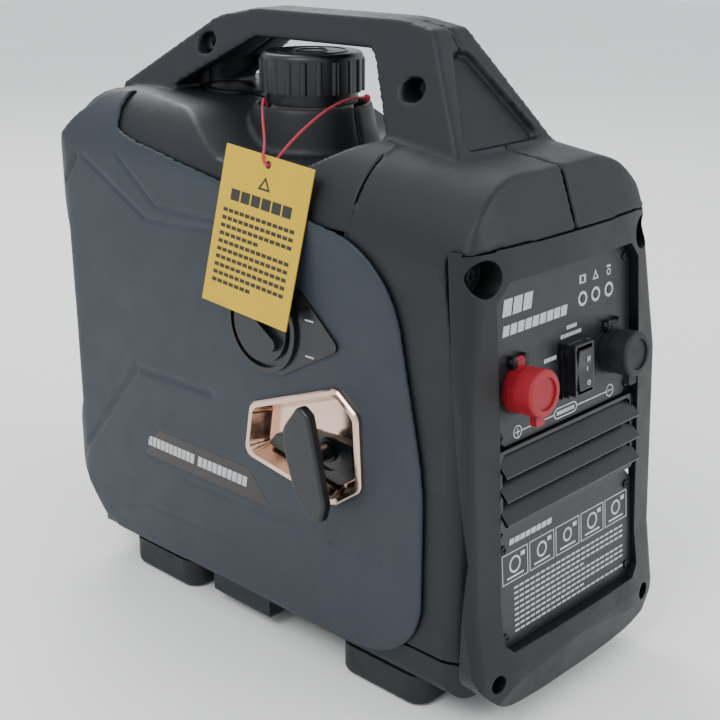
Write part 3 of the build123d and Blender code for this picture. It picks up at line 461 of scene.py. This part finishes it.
def prints(name, shapes, place, material, body="casing", low=0.00002, high=0.00016):
    """Raised ink: every shape is a thin slab on the plane of place, in millimetres."""
    mesh = bmesh.new()
    for shape in shapes:
        levels = [[[mesh.verts.new(place @ Vector((x * MM, y * MM, w))) for x, y in edge] for w in (low, high)]
                  for edge in shape if edge]
        (under, over), holes = levels[0], levels[1:]
        count = len(under)
        turns = [(i, (i + 1) % count) for i in range(count)]
        for i, j in turns:
            mesh.faces.new((under[i], under[j], over[j], over[i]))
        if holes:
            inner_under, inner_over = holes[0]
            for i, j in turns:
                mesh.faces.new((inner_under[j], inner_under[i], inner_over[i], inner_over[j]))
                mesh.faces.new((over[i], over[j], inner_over[j], inner_over[i]))
                mesh.faces.new((under[j], under[i], inner_under[i], inner_under[j]))
        else:
            mesh.faces.new(over)
            mesh.faces.new(under[::-1])
    data = bpy.data.meshes.new(name)
    mesh.to_mesh(data)
    mesh.free()
    piece = new_object(name, data, material)
    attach(piece, body)


def mark_control_plate():
    """Blocks for the title and captions, lamp rings with a sign over each, and the sockets' polarity line."""
    marks = words(-66, -34, 79.5, 90.5, 3, 2.5) + words(-66.5, 4, 66.5, 73.5, 9, 1.5)
    marks += words(3, 15, 56, 58.6, 4) + words(-4, 20, 50.8, 53.4, 8) + words(-23, -9, 38.6, 41.4, 5)
    marks += [ring(x, LAMP_V, 5.2, 3.15) for x in LAMP_X]
    marks += [bar(18.5, 84, 20.5, 90), bar(24, 84, 26, 90), bar(20.9, 84, 23.6, 85.2), bar(20.9, 88.8, 23.6, 90)]
    marks += [([(34, 84), (41, 84), (37.5, 91)], [(35.7, 85), (39.3, 85), (37.5, 88.6)])]
    marks += [ring(53.5, 86, 2.4, 1.4), bar(51.2, 89.2, 55.8, 91)]
    marks += [ring(x, 0, 4.6, 3.7) for x in (-SOCKET_X, SOCKET_X)]
    marks += [bar(-56, -0.45, -51, 0.45), bar(-53.95, 0.6, -53.05, 2.5), bar(-53.95, -2.5, -53.05, -0.6),
              bar(51, -0.45, 56, 0.45), bar(-48.9, -0.45, -13.4, 0.45), bar(13.4, -0.45, 48.9, 0.45)]
    marks += [pill(0, 0, 9.5, 3.9, 0.9)] + words(-10, 10.6, -1.3, 1.3, 7)
    prints("control_plate_marks", marks, PANEL_PLACE, WHITE_INK)


def mark_guide_plate():
    """Picture row, a heading and lines of small print, all as plain shapes."""
    marks = words(-66, -18, -76.4, -72.4, 8, 0.8)
    low, high, edge = -103.3, -81.7, 0.7
    for i in range(5):
        left = -74.3 + i * 30.1
        right = left + 28.2
        marks.append(([(left, low), (right, low), (right, high), (left, high)],
                      [(left + edge, low + edge), (right - edge, low + edge),
                       (right - edge, high - edge), (left + edge, high - edge)]))
        radius = 6.2 - 0.5 * (i % 3)
        marks += [ring(left + 14, -91.5, radius, radius - 1.6)]
        marks += [bar(left + 5, -100.6, right - 5, -99.2), bar(left + 20.5, -88, left + 25, -84.8)]
    for row in range(9):
        low = -109.5 - row * 4.0
        end = 70 if row % 4 != 3 else 20
        marks += words(-62, end, low, low + 1.5, 22 if end == 70 else 14, 0, 0.22)
    prints("guide_plate_marks", marks, PANEL_PLACE, WHITE_INK)


def mark_rocker():
    """Two bars, one bar and a ring down the face of the rocker, sunk a little into it."""
    marks = [
        ("top", [bar(9.4, 34.2, 10.2, 37.4), bar(11.4, 34.2, 12.2, 37.4)], ROCKER_END, 0.0003),
        ("bottom", [ring(10.8, 19.0, 1.8, 1.1)], ROCKER_END, 0.0002),
        ("middle", [bar(10.4, 27.2, 11.2, 30.2)], ROCKER_WAIST, 0.0002),
    ]
    for name, shapes, out, high in marks:
        place = PANEL_PLACE @ Matrix.Translation((0, 0, out))
        prints("rocker_marks_" + name, shapes, place, WHITE_INK, "rocker", -0.0004, high)


def mark_side():
    """Blocks on the decal strip and a dot with two short lines by the knob."""
    prints("decal_marks", words(-124, -66, 115, 123.5, 11, 1.6) + words(-62, -4, 115, 123.5, 10, 1.6),
           SIDE_PLACE, WHITE_INK)
    prints("knob_marks", [ring(-9, 283, 1.6, 0.3), bar(64, 262, 72, 263.2), bar(64, 236, 72, 237.2)],
           KNOB_PLACE, WHITE_INK)


def mark_cap():
    """Raised ring and three arrows round the top of the filler cap."""
    shapes = [ring(0, 0, 27, 25.6), ring(0, 0, 12, 11)]
    for turn in (0.3, 2.4, 4.5):
        shapes.append(([(18 * math.cos(turn) + 3.4 * math.cos(turn + k), 18 * math.sin(turn) + 3.4 * math.sin(turn + k))
                        for k in (0, 2.1, 4.2)], None))
    prints("fuel_cap_relief", shapes, CAP_PLACE, CAP, "fuel_cap", -0.0004, 0.0007)


def mark_tag():
    """A triangle sign, a heading and lines of small print on the card, all as plain shapes."""
    place = TAG_PLACE @ Matrix.Translation((0, 0, 0.0004))
    shapes = [([(-6, -24), (6, -24), (0, -14.5)], [(-3.4, -22.6), (3.4, -22.6), (0, -17.2)])]
    shapes += words(-30, 30, -37, -29, 6, 0)
    for row in range(10):
        low = -46 - row * 5.6
        end = 35 if row not in (3, 9) else 4
        shapes += words(-35, end, low, low + 2.6, 13 if end == 35 else 7, 0, 0.2)
    prints("tag_marks", shapes, place, DARK_INK)


# ---- covers with their relief --------------------------------------------------------------------------
def near_line(y, z, path, width):
    """1 on a line of runs in (y, z), falling to 0 at width."""
    best = width
    for (y0, z0), (y1, z1) in zip(path, path[1:]):
        run = np.array((y1 - y0, z1 - z0))
        t = np.clip(((y - y0) * run[0] + (z - z0) * run[1]) / run.dot(run), 0, 1)
        best = np.minimum(best, np.hypot(y - y0 - t * run[0], z - z0 - t * run[1]))
    return 1 - best / width


COVER_VOXEL = 0.0019
SHELL_VOXEL = 0.0022

# Pressed lines of the covers: corners in (y, z) from the working level, half width and depth, in mm
BANDS = [
    ([(189, 343), (111, 304), (29, 308.5)], 2.6, 0.9), ([(144, 349), (99, 316), (25, 316)], 2.6, 0.9),
    ([(197.5, 342), (214, 321)], 3.4, 2.0), ([(78, 97.5), (-58.7, 101)], 2.4, 0.9),
    ([(-84, 100.4), (-135, 101.5)], 2.4, 0.9), ([(181, 39), (127, 60), (20, 62)], 2.4, 0.8),
    ([(216, 83), (132, 179), (43, 181)], 4.5, 1.5),
]


def cover_skin(node, side):
    """The cover as one moulding with rounded edges and pressed lines."""
    piece = softened(node, COVER_VOXEL, 4)
    places, normals = vertex_table(piece, "co"), vertex_table(piece, "normal")
    y, z = places[:, 1] / MM, places[:, 2] / MM - LIFT
    outward = normals[:, 0] * side
    depth = np.zeros(len(places))
    for path, width, amount in BANDS:
        depth = np.maximum(depth, amount * np.clip(near_line(y, z, path, width), 0, 1))
    places[:, 0] -= side * depth * MM * (outward > 0.5)
    piece.data.vertices.foreach_set("co", places.ravel())
    piece.data.update()
    piece.data.materials.append(GREY)
    stand_in(piece, node)


SHELL_HALF = 101.2       # mm, side of the casing halves
CROWN_R = 62.0           # mm, shoulder radius of the crowned front
CROWN_TOP = 365.8        # mm, its top at CROWN_Y, rising to the rear
CROWN_Y = -240
CROWN_RISE = 0.12


def vertex_table(piece, field):
    table = np.empty(len(piece.data.vertices) * 3)
    piece.data.vertices.foreach_get(field, table)
    return table.reshape(-1, 3)


def shell_skin(node):
    """One casing half with rounded edges; its front shoulder runs on into the side beside the handle."""
    piece = softened(node, SHELL_VOXEL, 2)
    places, normals = vertex_table(piece, "co"), vertex_table(piece, "normal")
    x, y, z = np.abs(places[:, 0]) / MM, places[:, 1] / MM, places[:, 2] / MM - LIFT
    wall = np.where(normals[:, 2] < 0, WALL, 0.0)
    turn = np.clip(x - (SHELL_HALF - CROWN_R), 0, CROWN_R)
    crown = CROWN_TOP + CROWN_RISE * (y - CROWN_Y) - (CROWN_R - np.sqrt(CROWN_R ** 2 - turn ** 2)) - wall
    beside_handle = x > 63.5 - 48 * (z - 355) / 104
    lowered = (y > -101) & (y < -20) & (z > crown) & beside_handle & (z > 330)
    places[lowered, 2] = (crown[lowered] + LIFT) * MM
    piece.data.vertices.foreach_set("co", places.ravel())
    piece.data.update()
    piece.data.materials.append(BLACK)
    stand_in(piece, node)


def rope():
    """Braided rope with its strands wound round it, held by the pulley's side and by the grip."""
    start, end = -0.116, -0.0005
    rope_y, rope_z = -0.074, 0.173
    rows, sides = 150, 10
    vertices = []
    for i in range(rows + 1):
        x = start + (end - start) * i / rows
        for k in range(sides):
            turn = 2 * math.pi * k / sides
            radius = 0.00165 + 0.0001 * math.sin(3 * turn + i * 0.9)
            vertices.append((x, rope_y + radius * math.cos(turn), rope_z + radius * math.sin(turn)))
    faces = [(i * sides + k, i * sides + (k + 1) % sides, (i + 1) * sides + (k + 1) % sides, (i + 1) * sides + k)
             for i in range(rows) for k in range(sides)]
    faces.append(tuple(range(sides))[::-1])
    faces.append(tuple(rows * sides + k for k in range(sides)))
    piece = mesh_from("starter_rope_braid", vertices, faces, ROPE)
    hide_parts("starter_rope")
    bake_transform(piece)


make_camera()
make_stage()
dress_cad()
mark_control_plate()
mark_guide_plate()
mark_rocker()
mark_side()
mark_cap()
cover_skin("side_cover_left", -1)
cover_skin("side_cover_right", 1)
shell_skin("top_shell_left")
shell_skin("top_shell_right")
rope()

string = nurbs_curve("tag_string_cord", STRING_POINTS, STRING_D, STRING)
stand_in(string, "tag_string")
mark_tag()
